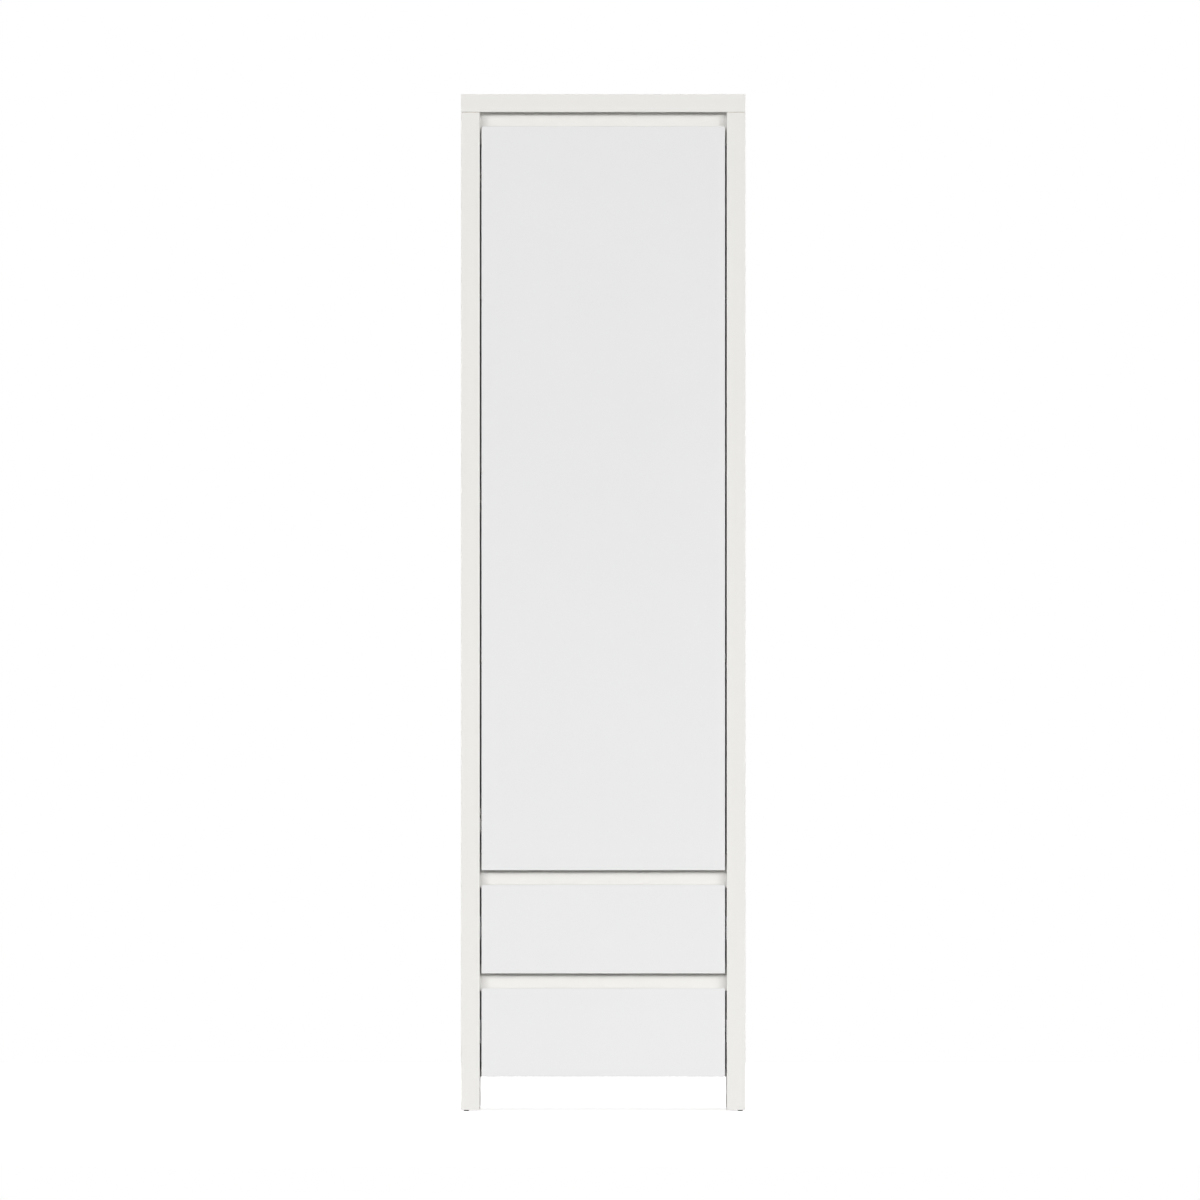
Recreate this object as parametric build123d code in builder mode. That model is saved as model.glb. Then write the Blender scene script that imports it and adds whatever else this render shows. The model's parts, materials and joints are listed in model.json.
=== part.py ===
"""Narrow linen wardrobe: one tall inset door over two inset drawers.

Two thick side panels stand on glides and carry a thick top board. The door and the
drawer fronts have no handles: each is pulled by its top edge, through the finger gap
above it, and a rail set back behind each gap closes the view inside.

Frame: millimetres, +X to the right of someone facing the fronts, the fronts face -Y,
+Z up. The origin is on the floor, under the middle of the carcass.
"""

import os

from build123d import *

os.makedirs("parts", exist_ok=True)

# Driving dimensions
WIDTH = 565.0
DEPTH = 560.0
HEIGHT = 2020.0
SIDE_T = 37.4  # thickness of the side panels
TOP_T = 36.0  # thickness of the top board
BOARD_T = 16.0  # thickness of the inner boards and rails
FRONT_T = 18.0  # thickness of the door and the drawer fronts
SIDE_GAP = 3.2  # between a front and the side panel beside it
BACK_T = 3.0
EDGE_R = 1.5  # rounding of the carcass edges
FRONT_EDGE_R = 0.8  # rounding round the outline of a front

# Heights of the fronts, bottom to top
DRAWER_2_Z = (68.5, 244.5)
DRAWER_1_Z = (273.5, 449.5)
DOOR_Z = (478.5, 1956.0)
FRONT_CORNER_R = 4.0  # easing of the two top corners of a front
GRIP_BEVEL = 11.0  # bevel behind the top edge of a front, for the fingers

# Rails and boards
RAIL_SETBACK = 26.0  # rail faces behind the front plane
RAIL_TOP_Z = (1920.0, HEIGHT - TOP_T)
RAIL_MIDDLE_Z = (444.0, 495.0)
RAIL_LOWER_Z = (239.0, 291.0)
REAR_RAIL_Z = (1894.0, HEIGHT - TOP_T)
BOTTOM_Z = (DRAWER_2_Z[0], DRAWER_2_Z[0] + BOARD_T)
FLOOR_Z = (RAIL_MIDDLE_Z[1], RAIL_MIDDLE_Z[1] + BOARD_T)
SHELF_Z = {"lower": 893.5, "middle": 1270.5, "upper": 1614.0}  # undersides
SHELF_SETBACK = 28.0
SHELF_CLEARANCE = 1.0
SHELF_EDGE_R = 0.6

# Feet
GLIDE_PROUD = 2.5
GLIDE_R = 6.0
GLIDE_FLAT_R = 3.5
GLIDE_INSET = 10.5  # from the outer face of a side panel
GLIDE_FROM_END = 25.0

# Knock-down fittings
CAM_R = 7.5
CAM_DEPTH = 12.0
CAM_FROM_END = 24.0  # from the end of the board to the middle of the cam
BOLT_R = 3.0
BOLT_IN_SIDE = 11.0
DOWEL_R = 4.0
DOWEL_HALF = 15.0
DOWEL_Y = 120.0  # board dowels this far before and behind the middle
BOLT_SHORT = 2.0  # a bolt stops this far short of the middle of its cam
FITTING_Y = 200.0  # fittings this far before and behind the middle

# Door hinges
HINGE_Z = {"lower": 578.5, "middle": 1217.0, "upper": 1856.0}
CUP_FROM_EDGE = 22.5
CUP_R = 17.5
CUP_WALL = 1.2
CUP_DEPTH = 15.1
CUP_FLOOR = 0.8
PIN_FROM_EDGE = 12.3
PIN_FROM_FACE = 6.5  # behind the front face of the door
PIN_R = 1.5
PIN_HALF = 12.9
ARM_HALF = 5.5  # half the height of the hinge arm
ARM_T = 2.6
KNUCKLE_R = 2.5
PIVOT_CLEARANCE = 0.08
SLOT_HALF = 7.0  # half the height of the slot that the arm swings into
SLOT_DEPTH = 13.5

# Drawers
BOX_H = 136.0
BOX_T = 15.0
BOX_LENGTH = 500.0
SLIDE_SPACE = 13.0  # between the side panel and the drawer box
SLIDE_H = 45.0
SLIDE_METAL = 1.2
SLIDE_LENGTH = 500.0
BOX_BOTTOM_T = 3.0
BOX_BOTTOM_UP = 11.0  # underside of the drawer bottom above the box's lower edge
BOX_GROOVE = 7.0

# Worked out from the above
INNER_X = WIDTH / 2 - SIDE_T
FRONT_X = INNER_X - SIDE_GAP
FRONT_Y = -DEPTH / 2
REAR_Y = DEPTH / 2
SIDE_TOP = HEIGHT - TOP_T
FRONT_BACK_Y = FRONT_Y + FRONT_T
RAIL_Y = (FRONT_Y + RAIL_SETBACK, FRONT_Y + RAIL_SETBACK + BOARD_T)
BACK_Y = (REAR_Y - 1 - BACK_T, REAR_Y - 1)
REAR_RAIL_Y = (BACK_Y[0] - BOARD_T, BACK_Y[0])
RABBET_WIDTH = 10.0
BACK_X = INNER_X + RABBET_WIDTH - 0.5
BACK_SPLIT_Z = 1000.0
BOX_X = INNER_X - SLIDE_SPACE
BOX_Z = {"upper": RAIL_LOWER_Z[1] + 4.5, "lower": BOTTOM_Z[1] + 6.0}
SLIDE_Y = RAIL_Y[0] + 4
CUP_X = -FRONT_X + CUP_FROM_EDGE
PIN_X = -FRONT_X + PIN_FROM_EDGE
PIN_Y = FRONT_Y + PIN_FROM_FACE
SIDES = (("left", -1), ("right", 1))


def middle(limits):
    """The middle of a pair of limits."""
    return (limits[0] + limits[1]) / 2


def slab(x, y, z, mode=Mode.ADD):
    """A rectangular block between pairs of limits, in the part being built."""
    with Locations((middle(x), middle(y), middle(z))):
        Box(abs(x[1] - x[0]), abs(y[1] - y[0]), abs(z[1] - z[0]), mode=mode)


def rods(plane, places, radius, length, mode=Mode.ADD):
    """Round rods that rise from a plane at the given places on it."""
    with BuildSketch(plane) as ends:
        with Locations(*places):
            Circle(radius)
    extrude(ends.sketch, amount=length, mode=mode)


def facing_front(y):
    """An upright plane at this depth: its x is X, its y is Z and it faces -Y."""
    return Plane.XZ.offset(-y)


def facing_side(side, x):
    """An upright plane this far out at one side: its x is Y, its y is Z, it faces +X."""
    return Plane.YZ.offset(side * x)


def let_in(*fixings):
    """Cut the room that these fixings take out of the part being built."""
    for fixing in fixings:
        add(fixing.part, mode=Mode.SUBTRACT)


def bevel_grip(front_top):
    """Bevel the back of a front's top edge, for the fingertips that pull it open."""
    with BuildSketch(Plane.YZ) as wedge:
        with BuildLine():
            Polyline(
                (FRONT_BACK_Y - GRIP_BEVEL, front_top),
                (FRONT_BACK_Y, front_top),
                (FRONT_BACK_Y, front_top - GRIP_BEVEL),
                close=True,
            )
        make_face()
    extrude(wedge.sketch, amount=FRONT_X, both=True, mode=Mode.SUBTRACT)


def save(piece, name):
    """Label a finished piece and write it."""
    piece.part.label = name
    export_step(piece.part, f"parts/{name}.step")


# ---------------------------------------------------------------- carcass fittings

board_joints = [(y, middle(z)) for z in (BOTTOM_Z, FLOOR_Z) for y in (-FITTING_Y, FITTING_Y)]
front_rails = (RAIL_TOP_Z, RAIL_MIDDLE_Z, RAIL_LOWER_Z)
RAIL_FIXING_STEP = 16.0  # bolt above and dowel below the middle of a rail's end
rail_joints = [(middle(RAIL_Y), middle(z)) for z in front_rails]
rail_joints.append((middle(REAR_RAIL_Y), middle(REAR_RAIL_Z)))
rail_bolts = [(y, z + RAIL_FIXING_STEP) for y, z in rail_joints]
rail_dowels = [(y, z - RAIL_FIXING_STEP) for y, z in rail_joints]
TOP_BOLT_X = INNER_X + 9.0
TOP_CAM_DEPTH = 14.0
top_joints = [(side * TOP_BOLT_X, y) for _, side in SIDES for y in (-FITTING_Y, FITTING_Y)]
top_dowels = [(side * (INNER_X + SIDE_T / 2), y) for _, side in SIDES for y in (-DOWEL_Y, DOWEL_Y)]

bolt_length = BOLT_IN_SIDE + CAM_FROM_END - BOLT_SHORT
with BuildPart() as cam_bolts:
    for _, side in SIDES:
        rods(
            facing_side(side, INNER_X + BOLT_IN_SIDE),
            board_joints + rail_bolts,
            BOLT_R,
            -side * bolt_length,
        )
    rods(Plane.XY.offset(SIDE_TOP + BOLT_IN_SIDE), top_joints, BOLT_R, -bolt_length)
save(cam_bolts, "cam_bolts")

with BuildPart() as cam_locks:
    cam_x = INNER_X - CAM_FROM_END
    for z in (BOTTOM_Z, FLOOR_Z):
        places = [(side * cam_x, y) for _, side in SIDES for y in (-FITTING_Y, FITTING_Y)]
        rods(Plane.XY.offset(z[0]), places, CAM_R, CAM_DEPTH)
    front_places = [(side * cam_x, z) for _, side in SIDES for _, z in rail_bolts[:-1]]
    rods(facing_front(RAIL_Y[1]), front_places, CAM_R, CAM_DEPTH)
    rear_places = [(side * cam_x, rail_bolts[-1][1]) for _, side in SIDES]
    rods(facing_front(REAR_RAIL_Y[0]), rear_places, CAM_R, -CAM_DEPTH)
    for _, side in SIDES:
        places = [(y, SIDE_TOP - CAM_FROM_END) for y in (-FITTING_Y, FITTING_Y)]
        rods(facing_side(side, INNER_X), places, CAM_R, side * TOP_CAM_DEPTH)
    let_in(cam_bolts)
save(cam_locks, "cam_locks")

with BuildPart() as wood_dowels:
    for _, side in SIDES:
        places = [(y, middle(z)) for z in (BOTTOM_Z, FLOOR_Z) for y in (-DOWEL_Y, DOWEL_Y)]
        rods(facing_side(side, INNER_X - DOWEL_HALF), places + rail_dowels, DOWEL_R, side * 2 * DOWEL_HALF)
    rods(Plane.XY.offset(SIDE_TOP - DOWEL_HALF), top_dowels, DOWEL_R, 2 * DOWEL_HALF)
save(wood_dowels, "wood_dowels")

# Shelf supports: a round shank in the side panel, and a flat seat under the shelf
PIN_HOLE_R = 2.5
PIN_SHANK = 9.0
SEAT_REACH = 8.0
SEAT_H = 5.0
SEAT_HALF = 5.0  # half its width
pin_rows = (-212.0, 212.0)
with BuildPart() as shelf_pins:
    for _, side in SIDES:
        for underside in SHELF_Z.values():
            places = [(y, underside - SEAT_H / 2) for y in pin_rows]
            rods(facing_side(side, INNER_X), places, PIN_HOLE_R, side * PIN_SHANK)
            for y in pin_rows:
                reach = (side * (INNER_X - SEAT_REACH), side * INNER_X)
                slab(reach, (y - SEAT_HALF, y + SEAT_HALF), (underside - SEAT_H, underside))
save(shelf_pins, "shelf_pins")

# Glides: a domed plastic foot on a nail
NAIL_R = 0.9
NAIL_UP = 16.0
GLIDE_DOME_R = 3.2  # radius of the dome between its flat and its rim
glide_places = [
    (side * (WIDTH / 2 - GLIDE_INSET), end * (DEPTH / 2 - GLIDE_FROM_END))
    for _, side in SIDES
    for end in (-1, 1)
]
with BuildPart() as glide:
    with BuildSketch(Plane.XZ):
        with BuildLine():
            Polyline((0, GLIDE_PROUD + NAIL_UP), (0, 0), (GLIDE_FLAT_R, 0))
            RadiusArc((GLIDE_FLAT_R, 0), (GLIDE_R, GLIDE_PROUD), -GLIDE_DOME_R)
            Polyline(
                (GLIDE_R, GLIDE_PROUD),
                (NAIL_R, GLIDE_PROUD),
                (NAIL_R, GLIDE_PROUD + NAIL_UP),
                (0, GLIDE_PROUD + NAIL_UP),
            )
        make_face()
    revolve(axis=Axis.Z)

with BuildPart() as floor_glides:
    with Locations(*glide_places):
        add(glide.part)
save(floor_glides, "floor_glides")

# Nails of the back panel
BACK_NAIL_STEP = 150.0
BACK_NAILS = 13  # places up each side
FIRST_BACK_NAIL_Z = 110.0
NAIL_CLEAR_OF_STRIP = 20.0
BACK_NAIL_LENGTH = 18.0
NAIL_HEAD_R = 1.6
NAIL_HEAD_T = 0.6
nail_heights = [FIRST_BACK_NAIL_Z + BACK_NAIL_STEP * i for i in range(BACK_NAILS)]
nail_heights = [z for z in nail_heights if abs(z - BACK_SPLIT_Z) > NAIL_CLEAR_OF_STRIP]
back_nail_places = [(side * (INNER_X + RABBET_WIDTH / 2), z) for _, side in SIDES for z in nail_heights]
with BuildPart() as back_panel_nails:
    rods(facing_front(BACK_Y[1]), back_nail_places, NAIL_HEAD_R, NAIL_HEAD_T)
    rods(facing_front(BACK_Y[1]), back_nail_places, NAIL_R, BACK_NAIL_LENGTH)
save(back_panel_nails, "back_panel_nails")

# ---------------------------------------------------------------- hinge hardware

PLATE_T = 2.0
PLATE_HALF = 6.0  # half the height of the plate's bar
PLATE_CORNER_R = 2.5
PLATE_Y = (-243.0, -188.0)
PLATE_SCREW_Y = -223.0
PLATE_SCREW_RISE = 16.0
SADDLE_T = 4.0
SADDLE_HALF = 4.5
ARM_BEND_R = 3.5
ARM_WALL_CLEARANCE = 0.4  # between the arm and its mounting plate
ARM_SCREW_R = 3.6
ARM_SCREW_T = 1.4
WING_HALF = (8.0, 25.0)  # half size of the plate's cross wing along Y and Z
EURO_R = 2.6
EURO_HEAD_R = 4.6
EURO_HEAD_T = 1.6
EURO_LENGTH = 13.0

# Drawer slides: three nested channels, given by their distance out from the side panel
slide_heights = {level: BOX_Z[level] + BOX_H / 2 for level in BOX_Z}
CABINET_WEB = (0.0, SLIDE_METAL)
MIDDLE_WEB = (5.6, 5.6 + SLIDE_METAL)
DRAWER_WEB = (SLIDE_SPACE - SLIDE_METAL, SLIDE_SPACE)
SLIDE_SCREW_FROM_END = 35.0
SLIDE_SCREW_Y = [
    SLIDE_Y + SLIDE_SCREW_FROM_END,
    SLIDE_Y + SLIDE_LENGTH / 2,
    SLIDE_Y + SLIDE_LENGTH - SLIDE_SCREW_FROM_END,
]
BRACKET_SCREW_X = 20.0
WALL_HOLE_R = 3.2
BRACKET_T = 2.0
BRACKET_HALF = (32.0, 14.0)
BRACKET_CORNER_R = 4.0
BRACKET_Z = 1925.0

with BuildPart() as euro_screws:
    plate_face = INNER_X - PLATE_T
    plate_places = [
        (PLATE_SCREW_Y, z + rise)
        for z in HINGE_Z.values()
        for rise in (-PLATE_SCREW_RISE, PLATE_SCREW_RISE)
    ]
    rods(facing_side(-1, plate_face - EURO_HEAD_T), plate_places, EURO_HEAD_R, -EURO_HEAD_T)
    rods(facing_side(-1, plate_face), plate_places, EURO_R, -EURO_LENGTH)
    slide_places = [(y, z) for z in slide_heights.values() for y in SLIDE_SCREW_Y]
    for _, side in SIDES:
        face = INNER_X - SLIDE_METAL
        rods(facing_side(side, face - EURO_HEAD_T), slide_places, EURO_HEAD_R, side * EURO_HEAD_T)
        rods(facing_side(side, face), slide_places, EURO_R, side * EURO_LENGTH)
    bracket_places = [(x, BRACKET_Z) for x in (-BRACKET_SCREW_X, BRACKET_SCREW_X)]
    bracket_face = facing_front(REAR_RAIL_Y[0] - BRACKET_T)
    rods(bracket_face, bracket_places, EURO_HEAD_R, EURO_HEAD_T)
    rods(bracket_face, bracket_places, EURO_R, -EURO_LENGTH)
save(euro_screws, "euro_screws")

for level, z in HINGE_Z.items():
    with BuildPart() as hinge_plate:
        slab((-INNER_X, -INNER_X + PLATE_T), PLATE_Y, (z - PLATE_HALF, z + PLATE_HALF))
        wing_y = (PLATE_SCREW_Y - WING_HALF[0], PLATE_SCREW_Y + WING_HALF[0])
        slab((-INNER_X, -INNER_X + PLATE_T), wing_y, (z - WING_HALF[1], z + WING_HALF[1]))
        fillet(hinge_plate.edges().filter_by(Axis.X), PLATE_CORNER_R)
        slab(
            (-INNER_X + PLATE_T, -INNER_X + PLATE_T + SADDLE_T),
            (PLATE_Y[0] + 2, PLATE_Y[1]),
            (z - SADDLE_HALF, z + SADDLE_HALF),
        )
        let_in(euro_screws)
    save(hinge_plate, f"hinge_plate_{level}")

    with BuildPart() as hinge_arm:
        strip_x = -INNER_X + PLATE_T + SADDLE_T + ARM_T / 2
        with BuildSketch(Plane.XY.offset(z - ARM_HALF)) as strip:
            with BuildLine():
                FilletPolyline(
                    (PIN_X, PIN_Y),
                    (PIN_X + 4.0, PIN_Y + 15.0),
                    (PIN_X + 1.5, PLATE_Y[0] - 6),
                    (strip_x, PLATE_Y[0] + 4),
                    (strip_x, PLATE_Y[1]),
                    radius=ARM_BEND_R,
                )
            trace(line_width=ARM_T)
            with Locations((PIN_X, PIN_Y)):
                Circle(KNUCKLE_R)
                Circle(PIN_R + PIVOT_CLEARANCE, mode=Mode.SUBTRACT)
        extrude(strip.sketch, amount=2 * ARM_HALF)
        # side walls of the channel, straddling the saddle of the plate
        for wall in (-1, 1):
            slab(
                (-INNER_X + PLATE_T + ARM_WALL_CLEARANCE, strip_x),
                (PLATE_Y[0] + 6, PLATE_Y[1]),
                (z + wall * SADDLE_HALF, z + wall * (ARM_HALF + ARM_WALL_CLEARANCE)),
            )
        # adjusting screw near the front and fixing screw near the rear, as raised heads
        head_places = [(PLATE_Y[0] + 16, z), (PLATE_Y[1] - 12, z)]
        rods(Plane.YZ.offset(strip_x + ARM_T / 2), head_places, ARM_SCREW_R, ARM_SCREW_T)
    save(hinge_arm, f"hinge_arm_{level}")

# Hinge pins, riveted across the cups
with BuildPart() as hinge_pins:
    for z in HINGE_Z.values():
        rods(Plane.XY.offset(z - PIN_HALF), [(PIN_X, PIN_Y)], PIN_R, 2 * PIN_HALF)
save(hinge_pins, "hinge_pins")

# Cup screws
CUP_SCREW_RISE = 24.0
CUP_SCREW_X = CUP_X + 8.0
FLANGE_T = 1.2
FLANGE_RIM = 2.0  # the flange reaches this far past the cup
FLANGE_H = 2 * CUP_SCREW_RISE + 14.0
FLANGE_W = 17.0
CUP_SCREW_R = 1.8
CUP_SCREW_HEAD_R = 3.4
CUP_SCREW_HEAD_T = 1.2
CUP_SCREW_LENGTH = 12.0
cup_screw_places = [
    (CUP_SCREW_X, z + rise) for z in HINGE_Z.values() for rise in (-CUP_SCREW_RISE, CUP_SCREW_RISE)
]
with BuildPart() as hinge_cup_screws:
    flange_face = facing_front(FRONT_BACK_Y + FLANGE_T)
    rods(flange_face, cup_screw_places, CUP_SCREW_HEAD_R, -CUP_SCREW_HEAD_T)
    rods(flange_face, cup_screw_places, CUP_SCREW_R, CUP_SCREW_LENGTH)
save(hinge_cup_screws, "hinge_cup_screws")

for level, z in HINGE_Z.items():
    with BuildPart() as hinge_cup:
        door_back = facing_front(FRONT_BACK_Y)
        rods(door_back, [(CUP_X, z)], CUP_R, CUP_DEPTH)
        with BuildSketch(door_back) as flange:
            with Locations((CUP_SCREW_X - 1, z)):
                SlotOverall(FLANGE_H, FLANGE_W, rotation=90)
            with Locations((CUP_X, z)):
                Circle(CUP_R + FLANGE_RIM)
        extrude(flange.sketch, amount=-FLANGE_T)
        bowl = facing_front(FRONT_BACK_Y + FLANGE_T)
        bowl_depth = FLANGE_T + CUP_DEPTH - CUP_FLOOR
        rods(bowl, [(CUP_X, z)], CUP_R - CUP_WALL, bowl_depth, mode=Mode.SUBTRACT)
        # notch that the arm swings into as the door opens
        slab(
            (-FRONT_X - 1, PIN_X),
            (FRONT_BACK_Y - SLOT_DEPTH, FRONT_BACK_Y + FLANGE_T),
            (z - SLOT_HALF, z + SLOT_HALF),
            mode=Mode.SUBTRACT,
        )
        let_in(hinge_pins, hinge_cup_screws)
    save(hinge_cup, f"hinge_cup_{level}")

# ---------------------------------------------------------------- drawer slides and screws


def channel(side, web, half_height, flange_end, y, z):
    """One slide member: a web and two flanges, placed by distances in from the side panel."""
    slab((side * (INNER_X - web[0]), side * (INNER_X - web[1])), y, (z - half_height, z + half_height))
    flange_x = (side * (INNER_X - web[0]), side * (INNER_X - flange_end))
    for edge in (-1, 1):
        rim = (z + edge * (half_height - SLIDE_METAL), z + edge * half_height)
        slab(flange_x, y, rim)


SCREW_R = 1.9
SCREW_HEAD_R = 3.8
SCREW_HEAD_T = 1.4
SCREW_LENGTH = 13.0
MIDDLE_HALF = 19.2  # half the height of a middle member
DRAWER_HALF = 16.2  # half the height of a drawer member
CABINET_FLANGE = 11.0  # how far each member's flanges reach from the side panel
MIDDLE_FLANGE = 10.4
DRAWER_FLANGE = 8.2
BOX_Y = (FRONT_BACK_Y, FRONT_BACK_Y + BOX_LENGTH)
RUNNER_Y = (BOX_Y[0] + 2, BOX_Y[1])
MIDDLE_Y = (SLIDE_Y + 2, SLIDE_Y + SLIDE_LENGTH - 22)
RUNNER_SCREW_Y = (RUNNER_Y[0] + 35, RUNNER_Y[1] - 60)
BACK_SCREW_LENGTH = 40.0
BACK_SCREW_RISE = (30.0, BOX_H - 20.0)  # above the lower edge of the box
FRONT_DOWEL_RISE = (28.0, BOX_H - 28.0)
FRONT_DOWEL_IN_SIDE = 20.0
FRONT_DOWEL_LENGTH = 31.0
BOX_EDGE_R = 1.0

for level, slide_z in slide_heights.items():
    for name, side in SIDES:
        cabinet_y = (SLIDE_Y, SLIDE_Y + SLIDE_LENGTH)
        with BuildPart() as cabinet_member:
            channel(side, CABINET_WEB, SLIDE_H / 2, CABINET_FLANGE, cabinet_y, slide_z)
            let_in(euro_screws)
        save(cabinet_member, f"slide_{level}_{name}_cabinet_member")

    # The two middle members of a drawer travel together, half as far as the drawer
    with BuildPart() as middle_members:
        for _, side in SIDES:
            channel(side, MIDDLE_WEB, MIDDLE_HALF, MIDDLE_FLANGE, MIDDLE_Y, slide_z)
    save(middle_members, f"slide_{level}_middle_members")

    # Screws of one drawer: runners to the box, sides to the back, and front to the sides
    box_z = BOX_Z[level]
    back_y = BOX_Y[1] - BOX_T / 2
    with BuildPart() as box_screws:
        for _, side in SIDES:
            runner_places = [(y, slide_z) for y in RUNNER_SCREW_Y]
            seat = facing_side(side, BOX_X + SLIDE_METAL)
            rods(seat, runner_places, SCREW_HEAD_R, side * SCREW_HEAD_T)
            rods(seat, runner_places, SCREW_R, -side * SCREW_LENGTH)
            back_places = [(back_y, box_z + rise) for rise in BACK_SCREW_RISE]
            rods(facing_side(side, BOX_X), back_places, SCREW_HEAD_R, -side * SCREW_HEAD_T)
            rods(facing_side(side, BOX_X), back_places, SCREW_R, -side * BACK_SCREW_LENGTH)
    save(box_screws, f"drawer_{level}_screws")

    with BuildPart() as front_dowels:
        places = [
            (side * (BOX_X - BOX_T / 2), box_z + rise)
            for _, side in SIDES
            for rise in FRONT_DOWEL_RISE
        ]
        rods(facing_front(FRONT_BACK_Y + FRONT_DOWEL_IN_SIDE), places, DOWEL_R, FRONT_DOWEL_LENGTH)

    for name, side in SIDES:
        with BuildPart() as drawer_member:
            channel(side, (DRAWER_WEB[1], DRAWER_WEB[0]), DRAWER_HALF, DRAWER_FLANGE, RUNNER_Y, slide_z)
            let_in(box_screws)
        save(drawer_member, f"slide_{level}_{name}_drawer_member")

        with BuildPart() as box_side:
            outer, inner = side * BOX_X, side * (BOX_X - BOX_T)
            slab((inner, outer), BOX_Y, (box_z, box_z + BOX_H))
            fillet(box_side.edges().filter_by(Axis.Y).group_by(Axis.Z)[-1], BOX_EDGE_R)
            groove_z = (box_z + BOX_BOTTOM_UP, box_z + BOX_BOTTOM_UP + BOX_BOTTOM_T)
            slab((inner, inner + side * BOX_GROOVE), BOX_Y, groove_z, mode=Mode.SUBTRACT)
            let_in(box_screws, front_dowels)
        save(box_side, f"drawer_{level}_side_{name}")

    inside_x = BOX_X - BOX_T
    with BuildPart() as box_back:
        slab((-inside_x, inside_x), (BOX_Y[1] - BOX_T, BOX_Y[1]), (groove_z[1], box_z + BOX_H))
        let_in(box_screws)
    save(box_back, f"drawer_{level}_back")

    with BuildPart() as box_bottom:
        bottom_x = inside_x + BOX_GROOVE - 0.5
        slab((-bottom_x, bottom_x), (FRONT_BACK_Y, BOX_Y[1]), groove_z)
    save(box_bottom, f"drawer_{level}_bottom")

    front_z = DRAWER_1_Z if level == "upper" else DRAWER_2_Z
    with BuildPart() as drawer_front:
        slab((-FRONT_X, FRONT_X), (FRONT_Y, FRONT_BACK_Y), front_z)
        fillet(drawer_front.edges().filter_by(Axis.Y).group_by(Axis.Z)[-1], FRONT_CORNER_R)
        fillet(drawer_front.faces().sort_by(Axis.Y)[0].edges(), FRONT_EDGE_R)
        bevel_grip(front_z[1])
        let_in(front_dowels)
    save(drawer_front, f"drawer_{level}_front")
    save(front_dowels, f"drawer_{level}_dowels")

# ---------------------------------------------------------------- door

with BuildPart() as door_panel:
    slab((-FRONT_X, FRONT_X), (FRONT_Y, FRONT_BACK_Y), DOOR_Z)
    fillet(door_panel.edges().filter_by(Axis.Y).group_by(Axis.Z)[-1], FRONT_CORNER_R)
    fillet(door_panel.faces().sort_by(Axis.Y)[0].edges(), FRONT_EDGE_R)
    bevel_grip(DOOR_Z[1])
    for z in HINGE_Z.values():
        rods(facing_front(FRONT_BACK_Y), [(CUP_X, z)], CUP_R, CUP_DEPTH, mode=Mode.SUBTRACT)
        slab(
            (-FRONT_X - 1, CUP_X),
            (FRONT_BACK_Y - SLOT_DEPTH, FRONT_BACK_Y + 1),
            (z - SLOT_HALF, z + SLOT_HALF),
            mode=Mode.SUBTRACT,
        )
    let_in(hinge_cup_screws)
save(door_panel, "door_panel")

# ---------------------------------------------------------------- carcass boards

ROW_HOLE_STEP = 32.0
ROW_HOLE_DEPTH = 11.0
ROW_HOLES = 2  # spare holes above and below each shelf support

for name, side in SIDES:
    with BuildPart() as side_panel:
        outer, inner = side * WIDTH / 2, side * INNER_X
        slab((inner, outer), (FRONT_Y, REAR_Y), (GLIDE_PROUD, SIDE_TOP))
        fillet(side_panel.edges().filter_by(Axis.Z) + side_panel.edges().group_by(Axis.Z)[-1], EDGE_R)
        rabbet_x = (inner - side, inner + side * RABBET_WIDTH)
        slab(rabbet_x, (BACK_Y[0], REAR_Y + 1), (BOTTOM_Z[0], SIDE_TOP + 1), mode=Mode.SUBTRACT)
        spare = [
            (y, underside - SEAT_H / 2 + step * ROW_HOLE_STEP)
            for underside in SHELF_Z.values()
            for step in range(-ROW_HOLES, ROW_HOLES + 1)
            for y in pin_rows
        ]
        rods(facing_side(side, INNER_X), spare, PIN_HOLE_R, side * ROW_HOLE_DEPTH, mode=Mode.SUBTRACT)
        let_in(cam_bolts, cam_locks, wood_dowels, floor_glides, back_panel_nails, euro_screws)
    save(side_panel, f"side_panel_{name}")

with BuildPart() as top_panel:
    slab((-WIDTH / 2, WIDTH / 2), (FRONT_Y, REAR_Y), (SIDE_TOP, HEIGHT))
    fillet(top_panel.edges(), EDGE_R)
    rabbet_y = (BACK_Y[0], REAR_Y + 1)
    rabbet_x = (-INNER_X - RABBET_WIDTH, INNER_X + RABBET_WIDTH)
    slab(rabbet_x, rabbet_y, (SIDE_TOP - 1, SIDE_TOP + 9), mode=Mode.SUBTRACT)
    let_in(cam_bolts, wood_dowels)
save(top_panel, "top_panel")

for name, z in (("bottom_panel", BOTTOM_Z), ("compartment_floor", FLOOR_Z)):
    with BuildPart() as board:
        slab((-INNER_X, INNER_X), (RAIL_Y[0], BACK_Y[0]), z)
        let_in(cam_bolts, cam_locks, wood_dowels)
    save(board, name)

for name, z in (("top", RAIL_TOP_Z), ("middle", RAIL_MIDDLE_Z), ("lower", RAIL_LOWER_Z)):
    with BuildPart() as rail:
        slab((-INNER_X, INNER_X), RAIL_Y, z)
        let_in(cam_bolts, cam_locks, wood_dowels)
    save(rail, f"grip_rail_{name}")

with BuildPart() as rear_rail:
    slab((-INNER_X, INNER_X), REAR_RAIL_Y, REAR_RAIL_Z)
    rods(facing_front(REAR_RAIL_Y[1]), [(0, BRACKET_Z)], 2 * WALL_HOLE_R, BOARD_T, mode=Mode.SUBTRACT)
    let_in(cam_bolts, cam_locks, wood_dowels, euro_screws)
save(rear_rail, "rear_rail")

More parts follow.
